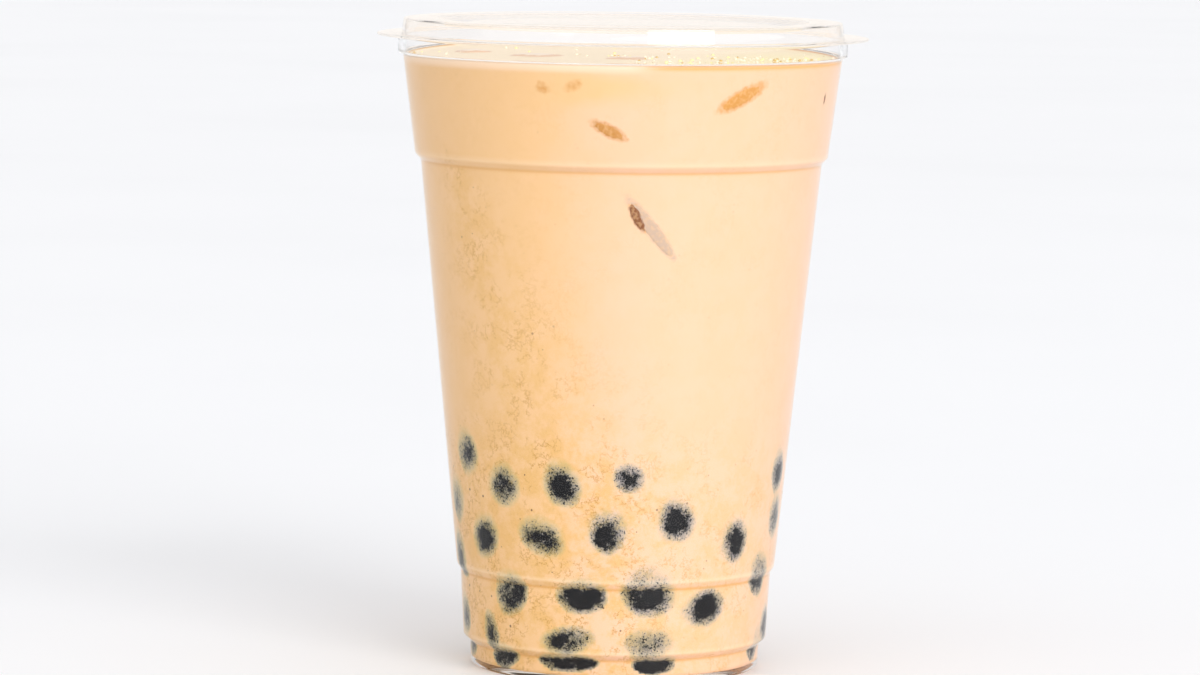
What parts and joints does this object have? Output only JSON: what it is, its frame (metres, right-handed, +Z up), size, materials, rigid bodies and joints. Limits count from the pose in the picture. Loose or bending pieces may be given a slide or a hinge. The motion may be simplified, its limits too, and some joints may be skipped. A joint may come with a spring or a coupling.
{
  "type": "bubble tea",
  "caption": "Milk tea with tapioca pearls and ice in a tall clear plastic takeaway cup with stacking rings, closed by a flat clear lid.",
  "frame": {"origin": "centre of the cup's foot, on the surface that the cup stands on", "axes": "+Z up along the cup's axis, from the foot to the lid; the cup is round, so +X and +Y are free"},
  "size_m": [0.1072, 0.1072, 0.1414],
  "materials": {
    "cup_plastic": "clear glossy plastic, thin and smooth",
    "milk_tea": "opaque creamy liquid, pale tan, smooth",
    "lid_plastic": "clear glossy plastic sheet"
  },
  "bodies": {
    "root": {"cup": "cup_plastic", "milk_tea": "milk_tea", "lid": "lid_plastic"}
  },
  "joints": []
}
